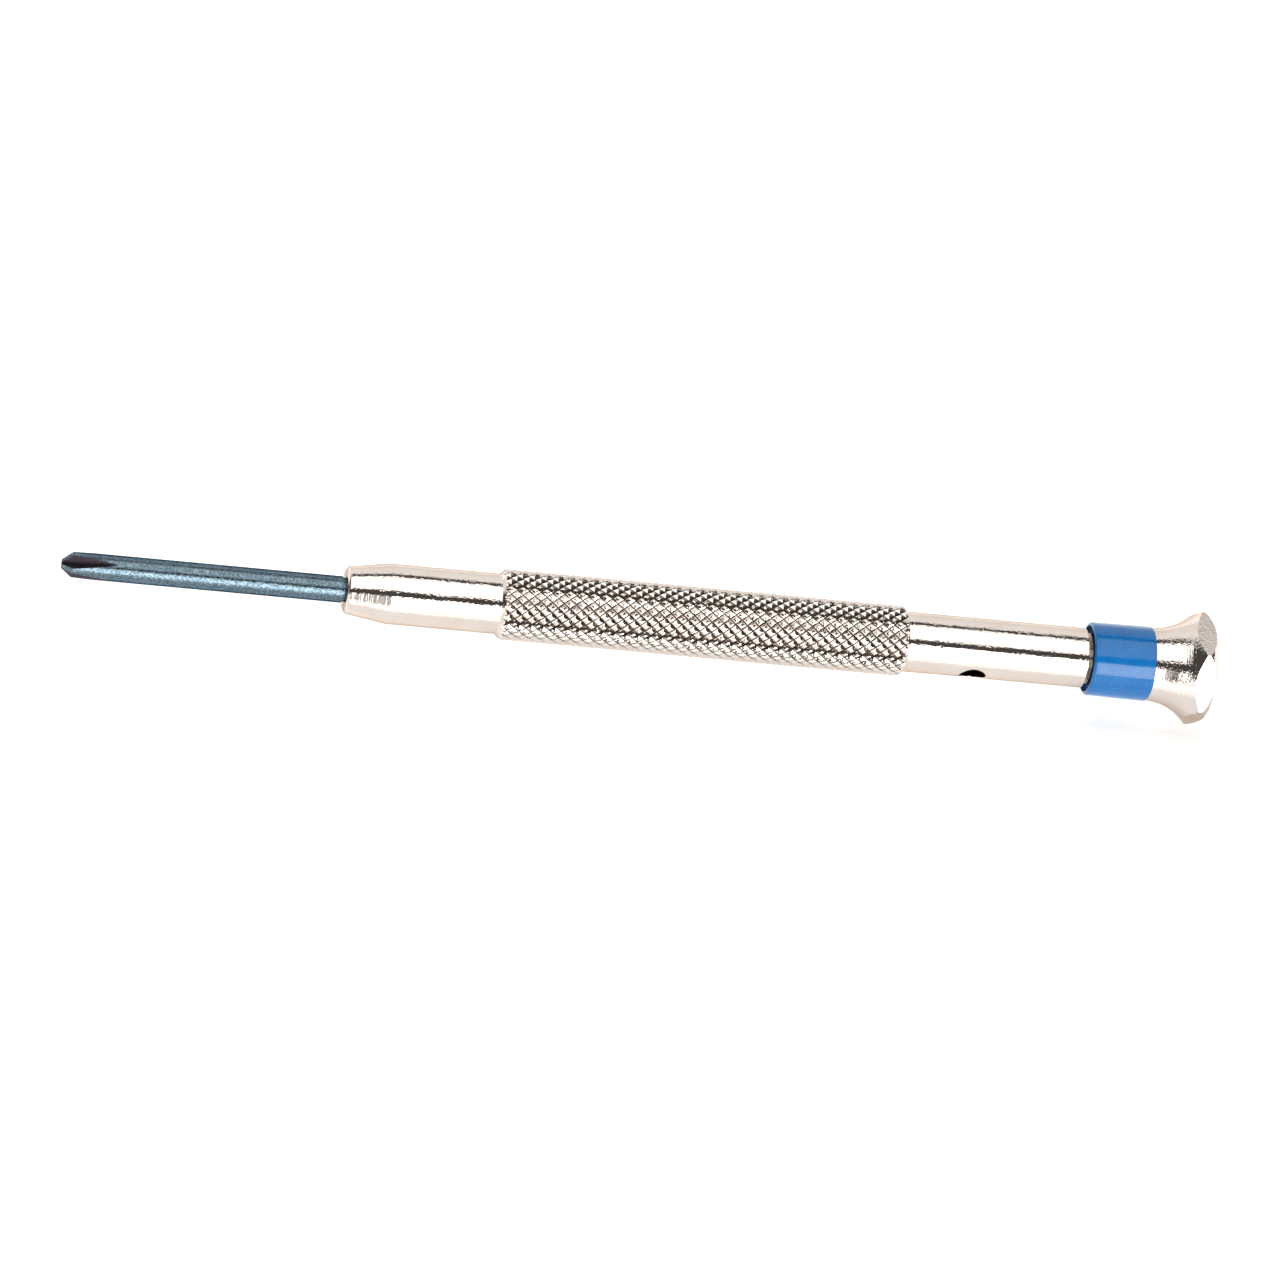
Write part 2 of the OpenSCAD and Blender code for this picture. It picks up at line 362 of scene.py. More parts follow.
def bright_steel_material():
    """Plain ground steel."""
    mat, n, p, out = shader("bright_steel")
    cloud = n.noise(p, 2.0, 3.0)
    colour = n.mix(cloud, (0.50, 0.48, 0.45, 1), (0.60, 0.58, 0.55, 1))
    rough = n.smooth(cloud, 0.3, 0.7, 0.22, 0.34)
    bump = n.new("ShaderNodeBump", {"Strength": 1.0, "Distance": 0.00001})
    n.put(bump.inputs["Height"], n.noise(p, 8.0, 3.0))
    b = n.new("ShaderNodeBsdfPrincipled", {"Metallic": 1.0, "Base Color": colour, "Roughness": rough})
    n.put(b.inputs["Normal"], bump.outputs["Normal"])
    n.put(out.inputs["Surface"], b.outputs[0])
    return mat


# the handle's plating; its last argument paints shade into the bottom of the knurl's grooves
nickel = nickel_material("nickel_plate", 1.0, 5.5, 0.2, 4.12,
                         painted_groove_shade=(KNURL_START + 0.45, KNURL_END - 0.3, 3.125, 3.215))
nickel_head = nickel_material("nickel_plate_head", 1.3, 4.0, 77.7, 82.3)
nickel_facet = nickel_material("nickel_plate_facets", 0.8, 0.0, 77.7, 82.3, (0.2, 0.3))
blued = blued_steel_material()
blue = blue_plastic_material()
steel = bright_steel_material()
flute_grey = flute_material()
screw_black = screw_material()

# ---------------------------------------------------------------- handle

KNURL_STEPS = 8          # mesh steps in one pitch of the knurl
GROOVE_DEPTH = 0.2
GROOVE_HALF_WIDTH = 2.8  # in mesh steps
CREST_SLOPE = 0.015      # how far the crests fall towards the grooves
COUNT = KNURL_STARTS * KNURL_STEPS
PHASE = math.radians(RETAIN_ANGLE)
NOSE_STEPS = 8
HANDLE_EDGE = 0.07       # rounding of the handle's rear edge
HOLE_GAP = 0.03          # the screw holes are wider than their screws by this radius
CLAMP_MOUTH = 0.12       # widening of each hole's mouth
RETAIN_MOUTH = 0.15
MOUTH_DEPTH = 0.12
DRILL_HALF_ANGLE = 59.0  # of the cone at the end of each bore, in degrees


def knurl_depth(x, j):
    """How far the knurl is cut below its crest at a station and an angular step."""
    turn = j / COUNT * KNURL_STARTS
    a = x / KNURL_PITCH + turn
    b = x / KNURL_PITCH - turn
    half_pitch = KNURL_STEPS / 2
    depth = 0.0
    for t in (a, b):
        d = abs(t - round(t)) * KNURL_STEPS
        groove = GROOVE_DEPTH * max(0.0, 1 - d / GROOVE_HALF_WIDTH)
        crest = CREST_SLOPE * max(0.0, (half_pitch - d) / half_pitch)
        depth = max(depth, groove + crest)
    return depth


def knurl_envelope(x):
    """The largest radius that the knurl's ends allow: a 45 degree front and a rounded back."""
    front = HANDLE_R + (x - KNURL_START)
    back = KNURL_R
    if x > KNURL_END - KNURL_ROUND:
        s = (x - KNURL_END + KNURL_ROUND) / KNURL_ROUND
        back = HANDLE_R + (KNURL_R - HANDLE_R) * math.sqrt(max(0.0, 1 - s * s))
    return min(KNURL_R, front, back)


def hole_window(skin, rows, column, half, x, hole_r, wall_r, flip=False):
    """Joins a square window in a grid of rows to a round radial hole.

    rows are the grid's loops of vertices, each with its x, that the window spans. Returns the
    hole's loop, the x and angle of each of its points, and the angle of the window's middle.
    """
    n = len(rows[0][1])
    top, bottom = rows[0], rows[-1]
    left, right = (column - half) % n, (column + half) % n
    loop = [(top[0], top[1][(column + k) % n], k) for k in range(-half, half)]
    loop += [(rx, ring[right], half) for rx, ring in rows[:-1]]
    loop += [(bottom[0], bottom[1][(column + k) % n], k) for k in range(half, -half, -1)]
    loop += [(rx, ring[left], -half) for rx, ring in rows[:0:-1]]
    centre = PHASE + 2 * math.pi * column / n
    step = 2 * math.pi / n
    square = [(px, k * step) for px, _, k in loop]
    # each point of the square looks towards the hole's centre, and lands on its circle
    scale_x = max(abs(px - x) for px, _ in square)
    scale_a = half * step
    targets = []
    for px, pa in square:
        phi = math.atan2(pa / scale_a, (px - x) / scale_x)
        targets.append((x + hole_r * math.cos(phi), math.asin(hole_r * math.sin(phi) / wall_r)))
    previous = [v for _, v, _ in loop]
    steps = 6
    for s in range(1, steps + 1):
        f = s / steps
        current = []
        for (sx, sa), (tx, ta) in zip(square, targets):
            current.append(skin.add(sx + (tx - sx) * f, wall_r, centre + sa + (ta - sa) * f))
        if flip:
            skin.bridge(current, previous)
        else:
            skin.bridge(previous, current)
        previous = current
    return previous, targets, centre


def nose_stations():
    """The x and radius of each loop on the nose, from the bore's mouth to the plain length."""
    nose = [(0.1, BLADE_BORE_R), (0.0, BLADE_BORE_R + 0.1), (0.0, NOSE_FACE_R)]
    nose += arc(0.0, NOSE_FACE_R, NOSE_ROUND, NOSE_R, 12, "r_first")
    for k in range(1, NOSE_STEPS + 1):
        f = k / NOSE_STEPS
        nose.append((NOSE_ROUND + (NOSE_END - NOSE_ROUND) * f, NOSE_R + (HANDLE_R - NOSE_R) * f))
    return nose


def plain(x0, x1, count):
    """The x and radius of even loops on a plain length, without the first."""
    return [(x0 + (x1 - x0) * k / count, HANDLE_R) for k in range(1, count + 1)]


def build_handle():
    """The handle: its outside, its two bores and its two screw holes."""
    skin = Skin()
    loops = []

    def add_loop(x, r):
        loops.append((x, skin.ring(x, r, COUNT, PHASE)))

    def join(first, last, skip=None):
        """Bridges consecutive loops, leaving out a window of columns."""
        for i in range(first, last):
            a, b = loops[i][1], loops[i + 1][1]
            for j in range(COUNT):
                if skip and skip[0] <= i < skip[1]:
                    away = (j - skip[2] + COUNT // 2) % COUNT - COUNT // 2
                    if -skip[3] <= away < skip[3]:
                        continue
                k = (j + 1) % COUNT
                skin.faces.append((a[j], b[j], b[k], a[k]))

    for x, r in nose_stations():
        add_loop(x, r)
    # plain length with the clamp screw's window: half its columns, and half its length
    clamp_half, clamp_reach = 13, 1.55
    for x, r in plain(NOSE_END, CLAMP_X - clamp_reach, 4):
        add_loop(x, r)
    clamp_first = len(loops) - 1
    for x, r in plain(CLAMP_X - clamp_reach, CLAMP_X + clamp_reach, 2 * clamp_half):
        add_loop(x, r)
    clamp_last = len(loops) - 1
    for x, r in plain(CLAMP_X + clamp_reach, KNURL_START, 8):
        add_loop(x, r)
    knurl_first = len(loops) - 1
    # knurl: a fine grid whose diagonals follow the grooves
    step = KNURL_PITCH / KNURL_STEPS
    i0 = math.ceil(KNURL_START / step + 0.3)
    i1 = math.floor(KNURL_END / step - 0.1)
    knurl_rows = []
    for i in range(i0, i1 + 1):
        x = i * step
        limit = knurl_envelope(x)
        ring = []
        for j in range(COUNT):
            r = max(HANDLE_R, min(limit, KNURL_R - knurl_depth(x, j)))
            ring.append(skin.add(x, r, PHASE + 2 * math.pi * j / COUNT))
        knurl_rows.append((x, ring))
    loops.append(knurl_rows[0])
    join(0, knurl_first + 1, (clamp_first, clamp_last, COUNT // 2, clamp_half))
    for (xa, a), (xb, b) in zip(knurl_rows, knurl_rows[1:]):
        xm = (xa + xb) / 2
        limit = knurl_envelope(xm)
        for j in range(COUNT):
            k = (j + 1) % COUNT
            r = max(HANDLE_R, min(limit, KNURL_R - knurl_depth(xm, j + 0.5)))
            c = skin.add(xm, r, PHASE + 2 * math.pi * (j + 0.5) / COUNT)
            skin.faces += [(a[j], b[j], c), (b[j], b[k], c), (b[k], a[k], c), (a[k], a[j], c)]
    loops.append(knurl_rows[-1])
    rear_first = len(loops) - 1
    add_loop(KNURL_END, HANDLE_R)
    retain_half, retain_reach = 17, 2.1
    for x, r in plain(KNURL_END, RETAIN_X - retain_reach, 5):
        add_loop(x, r)
    retain_first = len(loops) - 1
    for x, r in plain(RETAIN_X - retain_reach, RETAIN_X + retain_reach, 2 * retain_half):
        add_loop(x, r)
    retain_last = len(loops) - 1
    for x, r in plain(RETAIN_X + retain_reach, HANDLE_END - HANDLE_EDGE, 8):
        add_loop(x, r)
    for x, r in arc(HANDLE_END - HANDLE_EDGE, HANDLE_R,
                    HANDLE_END, HANDLE_R - HANDLE_EDGE, 3, "x_first"):
        add_loop(x, r)
    add_loop(HANDLE_END, SPINDLE_BORE_R)
    join(rear_first, len(loops) - 1, (retain_first, retain_last, 0, retain_half))
    rear_mouth = loops[-1]
    # the outer half of each screw hole
    clamp = hole_window(skin, loops[clamp_first:clamp_last + 1], COUNT // 2, clamp_half,
                        CLAMP_X, CLAMP_R + CLAMP_MOUTH, HANDLE_R)
    retain = hole_window(skin, loops[retain_first:retain_last + 1], 0, retain_half,
                         RETAIN_X, RETAIN_R + RETAIN_MOUTH, HANDLE_R)
    nose_mouth = loops[0]
    # bores: rows going into the handle, then a cone
    bores = []
    for mouth, end, r, x, half, reach, column in (
            (nose_mouth, BLADE_BORE_END, BLADE_BORE_R, CLAMP_X, 28, 1.6, COUNT // 2),
            (rear_mouth, SPINDLE_BORE_END, SPINDLE_BORE_R, RETAIN_X, 30, 2.0, 0)):
        way = 1 if end > mouth[0] else -1
        rows = [mouth]
        for k in range(2 * half + 1):
            px = x - way * reach + way * 2 * reach * k / (2 * half)
            rows.append((px, skin.ring(px, r, COUNT, PHASE)))
        rows.append((end, skin.ring(end, r, COUNT, PHASE)))
        for i in range(len(rows) - 1):
            a, b = rows[i][1], rows[i + 1][1]
            for j in range(COUNT):
                away = (j - column + COUNT // 2) % COUNT - COUNT // 2
                if 1 <= i <= 2 * half and -half <= away < half:
                    continue
                k = (j + 1) % COUNT
                skin.faces.append((a[k], b[k], b[j], a[j]) if way > 0 else (a[j], b[j], b[k], a[k]))
        tip = skin.point((end + way * r / math.tan(math.radians(DRILL_HALF_ANGLE)), 0, 0))
        skin.fan(rows[-1][1], tip, flip=way > 0)
        window = rows[1:2 * half + 2]
        bores.append((window, column, half, x, r, way))
    for (outer, targets, centre), (window, column, half, x, wall_r, way), hole_r in (
            (clamp, bores[0], CLAMP_R + HOLE_GAP), (retain, bores[1], RETAIN_R + HOLE_GAP)):
        if way < 0:
            window = window[::-1]
        inner, _, _ = hole_window(skin, window, column, half, x, hole_r, wall_r, flip=True)
        # the hole's wall, from the chamfered mouth to the bore
        phis = [math.atan2(math.sin(ta) * HANDLE_R, tx - x) for tx, ta in targets]
        direction = Vector((0, -math.sin(centre), math.cos(centre)))
        side = Vector((0, -math.cos(centre), -math.sin(centre)))
        lower = []
        for phi in phis:
            y = hole_r * math.sin(phi)
            h = math.sqrt(HANDLE_R ** 2 - y * y) - MOUTH_DEPTH
            q = Vector((x + hole_r * math.cos(phi), 0, 0)) + side * y + direction * h
            lower.append(skin.point(q))
        skin.bridge(outer, lower)
        stitch(skin, lower, inner, x, direction, side)
    return skin


def stitch(skin, upper, lower, x, direction, side):
    """Triangles between two loops round the same hole that have different numbers of points."""

    def angle(v):
        p = Vector(skin.verts[v])
        return math.atan2(p.dot(side), p.x - x)

    def unrolled(loop):
        """The loop, turned to start nearest angle 0, with its rising or falling angles."""
        start = min(range(len(loop)), key=lambda i: abs(angle(loop[i])))
        out, last = [], None
        for i in range(len(loop) + 1):
            v = loop[(start + i) % len(loop)]
            a = angle(v)
            if last is not None:
                while a - last > math.pi:
                    a -= 2 * math.pi
                while a - last < -math.pi:
                    a += 2 * math.pi
            out.append((v, a))
            last = a
        return out

    up, low = unrolled(upper), unrolled(lower)
    sign = 1 if up[-1][1] > up[0][1] else -1
    if (low[-1][1] > low[0][1]) != (sign > 0):
        low = unrolled(lower[::-1])
    i = j = 0
    while i < len(up) - 1 or j < len(low) - 1:
        if j == len(low) - 1 or (i < len(up) - 1 and sign * up[i + 1][1] <= sign * low[j + 1][1]):
            skin.faces.append((up[i][0], up[i + 1][0], low[j][0]))
            i += 1
        else:
            skin.faces.append((up[i][0], low[j + 1][0], low[j][0]))
            j += 1


skin = build_handle()
make_object("knurled_handle", skin, "handle", nickel, 8.0, "handle_body")

# ---------------------------------------------------------------- blade

TIP_R = 0.43
TIP_CONE = 1.0
FLUTE_LENGTH = 5.16
FLUTE_ROOT = 0.26
FLUTE_ANGLE = 28.0
RELIEF = (0.8, 0.2)      # length and depth of the groove just inside the nose
BLADE_NECK_START = -0.28
BLADE_NECK_DEPTH = 0.12
GRIP_FLAT_START = CLAMP_X - 3.5
GRIP_FLAT_DEPTH = 0.15
LAND_STEPS = 6
WALL_STEPS = 6
TIP_STEPS = 8
FLUTE_STEPS = 42
# behind the flutes the mesh's columns spread out evenly: the length that this takes, the half angle
# that it starts from, and the angle that is added
SPREAD_LENGTH = 4
SPREAD_START = math.radians(1.2)
SPREAD_ANGLE = math.radians(16)


def blade_columns(x):
    """Angle and radius of each column round the blade at a station of the fluted tip."""
    s = x - BLADE_TIP
    outer = TIP_R + (BLADE_R - TIP_R) * min(1.0, s / TIP_CONE)
    root = FLUTE_ROOT + (BLADE_R - FLUTE_ROOT) * (s / FLUTE_LENGTH) ** 1.3
    edge = math.acos(min(1.0, root / outer / math.sqrt(2))) - math.pi / 4 if root < outer else 0.0
    narrow = SPREAD_START
    if s > FLUTE_LENGTH:
        narrow += SPREAD_ANGLE * min(1.0, (s - FLUTE_LENGTH) / SPREAD_LENGTH)
    edge = max(edge, narrow)
    offsets = [-math.pi / 4 + (math.pi / 4 - edge) * k / LAND_STEPS for k in range(LAND_STEPS)]
    half = []
    for k in range(WALL_STEPS + 1):
        # even steps along the flute's flat wall
        a1, b1 = outer * math.cos(edge), outer * math.sin(edge)
        f = k / WALL_STEPS
        half.append(math.atan2(b1 * f, root + (a1 - root) * f) if root < outer else edge * f)
    offsets += [-h for h in half[:0:-1]] + half
    offsets += [edge + (math.pi / 4 - edge) * k / LAND_STEPS for k in range(1, LAND_STEPS)]
    out = []
    for flute in range(4):
        for d in offsets:
            r = outer
            if root < outer:
                r = min(outer, root / max(1e-6, math.cos(d) - abs(math.sin(d))))
            out.append((math.radians(FLUTE_ANGLE) + flute * math.pi / 2 + d, r))
    return out


def build_blade():
    """The blade: fluted tip, plain shank, neck, relief groove, and the flat under the clamp screw."""
    skin = Skin()
    stations = [TIP_CONE * k / TIP_STEPS for k in range(TIP_STEPS + 1)]
    stations += [TIP_CONE + (FLUTE_LENGTH - TIP_CONE) * k / FLUTE_STEPS
                 for k in range(1, FLUTE_STEPS + 1)]
    stations += [FLUTE_LENGTH + SPREAD_LENGTH * k / 8 for k in range(1, 9)]
    rows = []
    for s in stations:
        rows.append([skin.add(BLADE_TIP + s, r, a) for a, r in blade_columns(BLADE_TIP + s)])
    shape = blade_columns(BLADE_TIP + FLUTE_LENGTH + SPREAD_LENGTH)
    shank = BLADE_NECK_START - BLADE_TIP - FLUTE_LENGTH - SPREAD_LENGTH
    for k in range(1, 25):
        x = BLADE_TIP + FLUTE_LENGTH + SPREAD_LENGTH + shank * k / 24
        rows.append([skin.add(x, BLADE_R, a) for a, _ in shape])
    length, depth = RELIEF
    neck_r = BLADE_R - BLADE_NECK_DEPTH
    for x, r in ((BLADE_NECK_START + 0.05, neck_r), (0.0, neck_r), (0.0, BLADE_R - depth),
                 (length, BLADE_R - depth), (length, BLADE_R)):
        rows.append([skin.add(x, r, a) for a, _ in shape])
    flat = BLADE_R - GRIP_FLAT_DEPTH
    turn = math.radians(CLAMP_ANGLE)
    for x, r in ((GRIP_FLAT_START, BLADE_R), (GRIP_FLAT_START, None),
                 (BLADE_GRIP - 0.3, None), (BLADE_GRIP, "end")):
        row = []
        for a, _ in shape:
            cap = BLADE_R - 0.3 if r == "end" else BLADE_R
            away = math.cos(a - turn)
            if r is None or r == "end":
                cap = min(cap, flat / away) if away > 0.1 else cap
            row.append(skin.add(x, cap, a))
        rows.append(row)
    for a, b in zip(rows, rows[1:]):
        skin.bridge(b, a)
    skin.fan(rows[0], skin.point((BLADE_TIP, 0, 0)))
    skin.fan(rows[-1], skin.point((BLADE_GRIP, 0, 0)), flip=True)
    return skin


skin = build_blade()
per_flute = 2 * (LAND_STEPS + WALL_STEPS)
fluted_rows = TIP_STEPS + FLUTE_STEPS
in_flutes = [i for i in range(fluted_rows * 4 * per_flute)
             if LAND_STEPS <= i % per_flute < LAND_STEPS + 2 * WALL_STEPS]
make_object("crosshead_blade", skin, "blade", blued, 12.0, "blade",
            (flute_grey, in_flutes))

# ---------------------------------------------------------------- colour ring


def lathe(profile, count=160):
    """A closed ring turned from a closed profile of (x, r) points."""
    skin = Skin()
    rows = [skin.ring(x, r, count) for x, r in profile]
    for k in range(len(rows)):
        skin.bridge(rows[k], rows[(k + 1) % len(rows)])
    return skin


LIP = 0.28
RING_EDGE = 0.1
RECESS_R = 3.17
RECESS_DEPTH = 0.6
profile = [(RING_START + RECESS_DEPTH, RECESS_R), (RING_START + RECESS_DEPTH, RING_BORE_R),
           (RING_END, RING_BORE_R), (RING_END, RING_REAR_R - RING_EDGE)]
profile += arc(RING_END, RING_REAR_R - RING_EDGE, RING_END - RING_EDGE, RING_REAR_R, 4, "r_first")
for k in range(1, 13):
    f = k / 12
    profile.append((RING_END - RING_EDGE + (RING_START + LIP - RING_END + RING_EDGE) * f,
                    RING_REAR_R + (RING_FRONT_R - RING_REAR_R) * f))
profile += arc(RING_START + LIP, RING_FRONT_R, RING_START, RING_FRONT_R - LIP, 8, "x_first")
profile.append((RING_START, RECESS_R))
make_object("blue_colour_ring", lathe(profile), "head", blue, 20.0, "colour_ring")

# ---------------------------------------------------------------- head

FLARE_LENGTH = CORNER_X - RING_END
FLARE_RISE = PEAK_R - NECK_R
FLARE_R = (FLARE_LENGTH ** 2 + FLARE_RISE ** 2) / (2 * FLARE_RISE)
FLAT_R = CORNER_R * math.cos(math.pi / 6)


def flare(x):
    """The flare's radius at a distance along the tool."""
    return NECK_R + FLARE_R - math.sqrt(FLARE_R ** 2 - (x - RING_END) ** 2)


def flare_x(r):
    """The distance along the tool at which the flare has a radius."""
    return RING_END + math.sqrt(FLARE_R ** 2 - (NECK_R + FLARE_R - r) ** 2)


def dome(f):
    """The back's outline from the corners, f = 0, to the rim, f = 1."""
    x = CORNER_X + (HEAD_END - CORNER_X) * f
    return x, PEAK_R + 0.03 + (RIM_R - PEAK_R - 0.03) * (0.5 * f + 0.5 * f * f)


def dome_at(r):
    """Where on the back's outline, from 0 to 1, its radius has fallen to r."""
    lo, hi = 0.0, 1.0
    for _ in range(30):
        mid = (lo + hi) / 2
        if dome(mid)[1] > r:
            lo = mid
        else:
            hi = mid
    return lo


def build_head():
    """The head: bore, seat, flare, six flats, and a back with a shallow dish."""
    skin = Skin()
    sides, per = 6, 32
    angles = [math.radians(60.0 * j / per - 30.0) for j in range(sides * per)]
    hexes = [FLAT_R / math.cos(math.radians(60.0 * (j % per) / per - 30.0)) for j in range(sides * per)]
    rows = []

    def ring_row(x, r):
        rows.append([skin.add(x, r, a) for a in angles])

    ring_row(HEAD_BORE_END, HEAD_BORE_R)
    for k in range(1, 5):
        ring_row(HEAD_BORE_END + (RING_START + 0.05 - HEAD_BORE_END) * k / 4, HEAD_BORE_R)
    ring_row(RING_START + 0.05, SEAT_R)
    ring_row(RING_END, SEAT_R)
    ring_row(RING_END, NECK_R - 0.04)
    steps = 34
    starts = [flare_x(h) for h in hexes]
    for k in range(steps + 1):
        f = k / steps
        row = []
        for a, x1 in zip(angles, starts):
            x = RING_END + (x1 - RING_END) * f
            row.append(skin.add(x + (0.04 if k == 0 else 0), flare(x), a))
        rows.append(row)
    ends = [dome_at(h) for h in hexes]
    for k in range(1, 13):
        row = []
        for a, h, x1, e in zip(angles, hexes, starts, ends):
            x2 = dome(e)[0]
            row.append(skin.add(x1 + (x2 - x1) * k / 12, h, a))
        rows.append(row)
    for k in range(1, 13):
        row = []
        for a, e in zip(angles, ends):
            x, r = dome(e + (1 - e) * k / 12)
            row.append(skin.add(x, r, a))
        rows.append(row)
    ring_row(HEAD_END, DISH_R)
    dish = (DISH_R ** 2 + DISH_DEPTH ** 2) / (2 * DISH_DEPTH)
    for k in range(1, 16):
        r = DISH_R * (1 - k / 16)
        ring_row(HEAD_END - DISH_DEPTH + dish - math.sqrt(dish * dish - r * r), r)
    for a, b in zip(rows, rows[1:]):
        skin.bridge(b, a)
    skin.fan(rows[0], skin.point((HEAD_BORE_END, 0, 0)))
    skin.fan(rows[-1], skin.point((HEAD_END - DISH_DEPTH, 0, 0)), flip=True)
    return skin


skin = build_head()
head = make_object("hexagon_swivel_head", skin, "head", nickel_head, 7.0, "swivel_head")
head.data.materials.append(nickel_facet)
for face in head.data.polygons:
    # the six flats: faces that look straight out, at a multiple of 60 degrees
    outward = face.normal
    radial = math.hypot(outward.y, outward.z)
    turned = math.degrees(math.atan2(-outward.y, outward.z)) % 60
    outside = face.center.x > 79 * MM and face.center.yz.length > 4 * MM
    if radial > 0.999 and min(turned, 60 - turned) < 1 and outside:
        face.material_index = 1

# ---------------------------------------------------------------- pieces kept from the solids

for node, material in (("head_spindle", steel), ("thrust_ball", steel),
                       ("head_retaining_screw", screw_black), ("blade_clamp_screw", screw_black)):
    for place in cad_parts[node].material_slots:
        place.material = material

# ---------------------------------------------------------------- floor, light and camera

HEAD_REST_X = 81.40      # where the head's lower flat rests
FLOOR_REACH = 1.2        # from the middle to each edge, in metres
FLOOR_CELLS = 24


def rest_plane():
    """A point under the tool and the floor's upward normal.

    They come from the knurl's front edge and the head's flat, which both touch the floor.
    """
    knurl_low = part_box("handle_body")[0].z
    head_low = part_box("swivel_head")[0].z
    front = Vector(((KNURL_START + KNURL_R - HANDLE_R) * MM, 0, knurl_low))
    back = Vector((HEAD_REST_X * MM, 0, head_low))
    along = (back - front).normalized()
    return front, along.cross(Vector((0, -1, 0))).normalized() * (1 if along.x > 0 else -1)


def build_floor():
    """A flat sheet that the tool rests on, which glows as painted light, with a weaker strip as painted
    shadow.
    """
    touch, up = rest_plane()
    if up.z < 0:
        up = -up
    along = Vector((1, 0, 0))
    along = (along - up * along.dot(up)).normalized()
    across = up.cross(along)
    cells, row = FLOOR_CELLS, FLOOR_CELLS + 1
    grid = [touch + along * (FLOOR_REACH * (i / cells - 0.5) * 2)
            + across * (FLOOR_REACH * (j / cells - 0.5) * 2)
            for i in range(row) for j in range(row)]
    quads = [(i * row + j, (i + 1) * row + j, (i + 1) * row + j + 1, i * row + j + 1)
             for i in range(cells) for j in range(cells)]
    mesh = bpy.data.meshes.new("floor")
    mesh.from_pydata([tuple(g) for g in grid], [], quads)
    mat, n, p, out = shader("floor_white")
    paper = n.noise(p, 0.05, 3.0)
    floor_y = n.new("ShaderNodeSeparateXYZ", {0: p}).outputs["Y"]
    beside = n.math("MULTIPLY", floor_y, -1.0)
    # painted shadow: the floor's glow is weaker in a strip on the camera's side of the tool
    painted_floor_glow = n.math("ADD", n.smooth(beside, 1.5, 4.5, 0.6, 0.12), n.smooth(beside, 9.0, 16.0, 0.0, 0.48))
    white = n.mix(paper, (0.80, 0.80, 0.80, 1), (0.82, 0.82, 0.82, 1))
    b = n.new("ShaderNodeBsdfPrincipled", {
        "Base Color": white, "Roughness": 0.9, "Specular IOR Level": 0.1,
        "Emission Color": (1, 0.995, 0.985, 1), "Emission Strength": painted_floor_glow})
    n.put(out.inputs["Surface"], b.outputs[0])
    mesh.materials.append(mat)
    obj = bpy.data.objects.new("floor", mesh)
    bpy.context.scene.collection.objects.link(obj)
    return obj


floor = build_floor()

# the studio's bright bands: from and to, in degrees round the tool's axis, and strength
OVERHEAD = (59.0, 117.0, 1.7)
FAR_WALL = (131.0, 200.0, 1.0)
LOW_BACK = (-190.0, -134.0, 0.92)
SIDE_PATCH = (5.0, 30.0, 2.5)
KEY_LIGHT = (-3.0, 36.5)
AMBIENT = 0.075


def light_studio():
    """A world of bright bands round the tool, placed to give the reflections seen in the photo."""
    world = bpy.data.worlds.new("studio")
    bpy.context.scene.world = world
    n = Nodes(world)
    direction = n.new("ShaderNodeTexCoord").outputs["Generated"]
    xyz = n.new("ShaderNodeSeparateXYZ", {0: direction})
    x = xyz.outputs["X"]
    away = n.math("MULTIPLY", xyz.outputs["Y"], -1.0)
    # the angle round the tool's axis, in degrees: 0 is level on the camera's side, 90 is straight up
    turn = n.math("MULTIPLY", n.math("ARCTAN2", xyz.outputs["Z"], away), 180 / math.pi)

    def lit(light, soft):
        start, end, strength = light
        return n.math("MULTIPLY", n.band(turn, start, end, soft), strength)

    # how far each light reaches along the tool: x is -1 towards the tip and 1 towards the head
    sides = n.math("MULTIPLY", n.smooth(x, -0.76, -0.72), n.smooth(x, 0.45, 0.55, 1.0, 0.0))
    long_sides = n.math("MULTIPLY", n.smooth(x, -0.95, -0.90), n.smooth(x, 0.85, 0.92, 1.0, 0.0))
    behind = n.math("ADD", lit(FAR_WALL, 1.5), lit(LOW_BACK, 2.0))
    wide = n.math("ADD", n.math("MULTIPLY", lit(OVERHEAD, 1.0), sides),
                  n.math("MULTIPLY", behind, long_sides))
    key = n.math("ADD", n.smooth(x, 0.04, 0.16, 0.0, 5.5), n.smooth(x, -0.46, -0.12, 0.0, 0.8))
    key = n.math("MULTIPLY", n.band(turn, *KEY_LIGHT, 1.5), key)
    side = n.math("MULTIPLY", lit(SIDE_PATCH, 2.0), n.band(x, -0.78, -0.56, 0.02))
    total = n.math("ADD", n.math("ADD", wide, n.math("ADD", key, side)), AMBIENT)
    background = n.new("ShaderNodeBackground", {"Color": (1.0, 0.985, 0.97, 1), "Strength": total})
    n.new("ShaderNodeOutputWorld", {"Surface": background.outputs[0]})


light_studio()

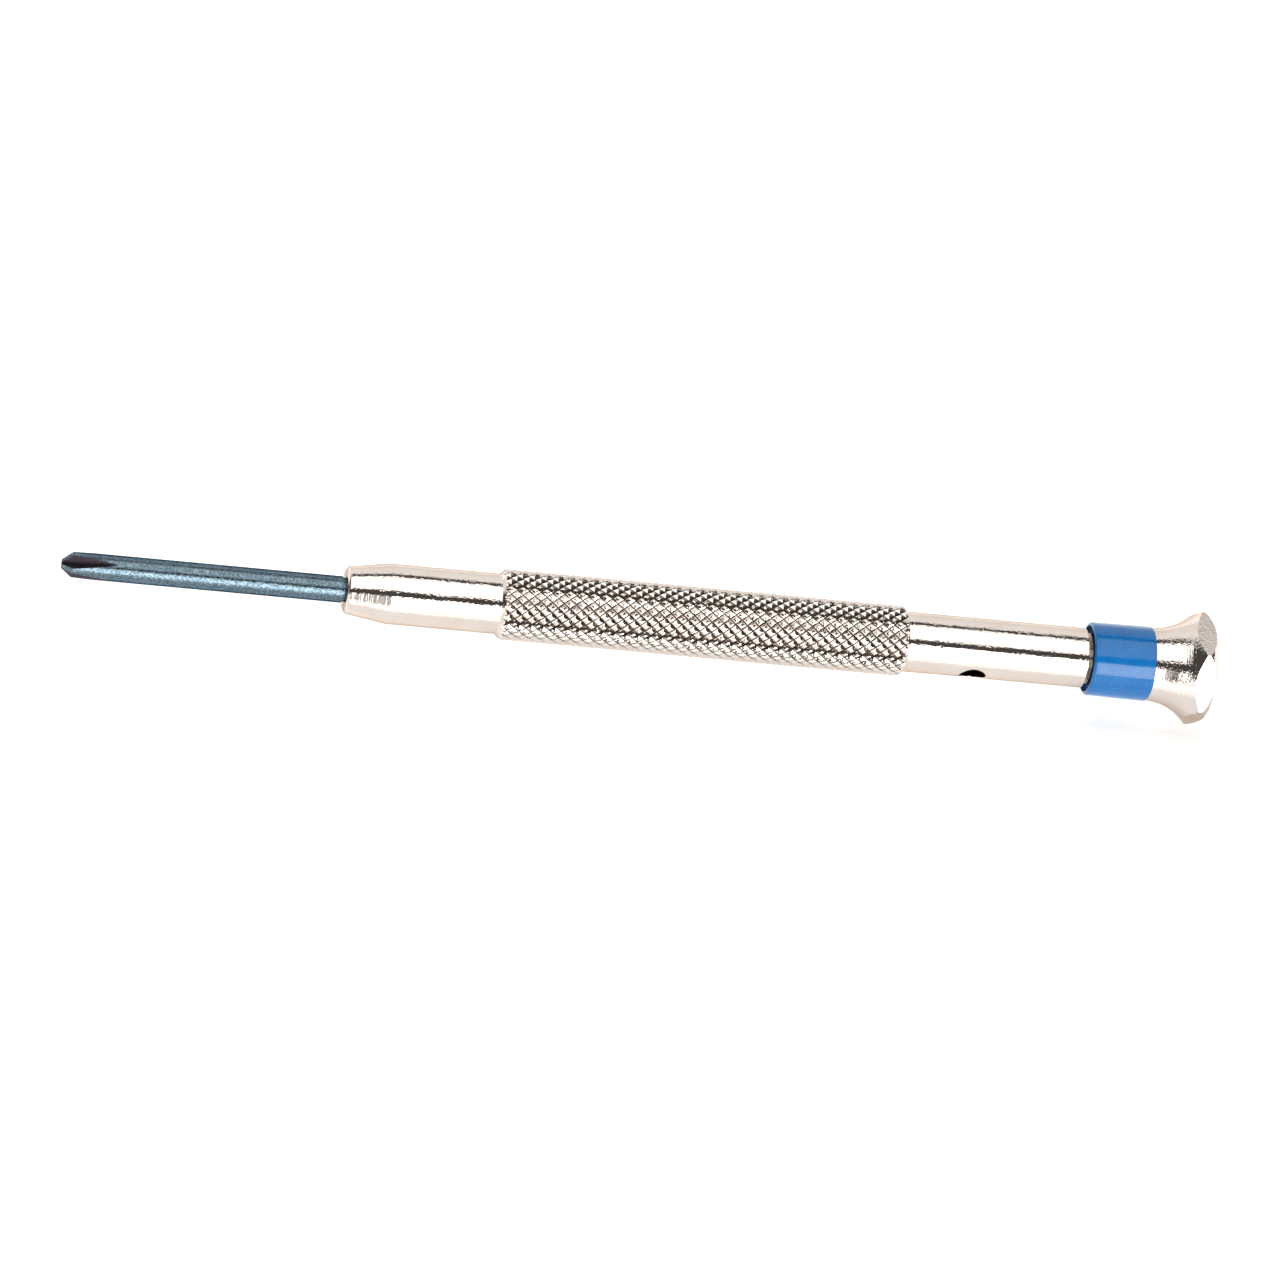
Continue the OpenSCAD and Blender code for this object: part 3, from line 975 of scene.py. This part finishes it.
lamp = bpy.data.lights.new("ceiling_lamp", "AREA")
lamp.shape, lamp.size, lamp.size_y, lamp.energy = "RECTANGLE", 0.9, 0.5, 1.0
lamp_object = bpy.data.objects.new("ceiling_lamp", lamp)
bpy.context.scene.collection.objects.link(lamp_object)
lamp_object.location = (0.03, -0.1, 0.9)
lamp_object.rotation_euler = (math.radians(-6), 0, 0)
lamp_object.visible_glossy = False

# camera: the tool's blade end leans 10.5 degrees towards it, and 43 degrees of roll round the axis
# separates straight up from the direction of the camera
LEAN = math.radians(10.5)
ROLL_ROUND_AXIS = math.radians(43.0)
SLOPE = math.radians(5.25)
DISTANCE = 0.8           # in metres, as are the two shifts of the camera
SHIFT_RIGHT = -0.000366
SHIFT_UP = -0.002135
NOSE_TO_MIDDLE = 28.64
PIXELS_PER_MM = 10.61
IMAGE_WIDTH = 1280
e1 = Vector((0, -math.sin(ROLL_ROUND_AXIS), math.cos(ROLL_ROUND_AXIS)))
e2 = Vector((0, math.cos(ROLL_ROUND_AXIS), math.sin(ROLL_ROUND_AXIS)))
ax = Vector((1, 0, 0))
right = (ax * math.cos(LEAN) * math.cos(SLOPE) + e1 * math.sin(LEAN) * math.cos(SLOPE)
         + e2 * math.sin(SLOPE))
upward = (-ax * math.cos(LEAN) * math.sin(SLOPE) - e1 * math.sin(LEAN) * math.sin(SLOPE)
          + e2 * math.cos(SLOPE))
back = -ax * math.sin(LEAN) + e1 * math.cos(LEAN)
middle = Vector((NOSE_TO_MIDDLE * MM, 0, 0))
cam = bpy.data.cameras.new("camera")
camera = bpy.data.objects.new("camera", cam)
bpy.context.scene.collection.objects.link(camera)
spot = middle + right * SHIFT_RIGHT + upward * SHIFT_UP + back * DISTANCE
camera.matrix_world = Matrix((
    (right.x, upward.x, back.x, spot.x),
    (right.y, upward.y, back.y, spot.y),
    (right.z, upward.z, back.z, spot.z),
    (0, 0, 0, 1)))
cam.sensor_width = 36
cam.lens = cam.sensor_width * PIXELS_PER_MM * DISTANCE * 1000 / IMAGE_WIDTH
cam.clip_start, cam.clip_end = 0.05, 5
bpy.context.scene.camera = camera
bpy.context.scene.view_settings.view_transform = "Standard"
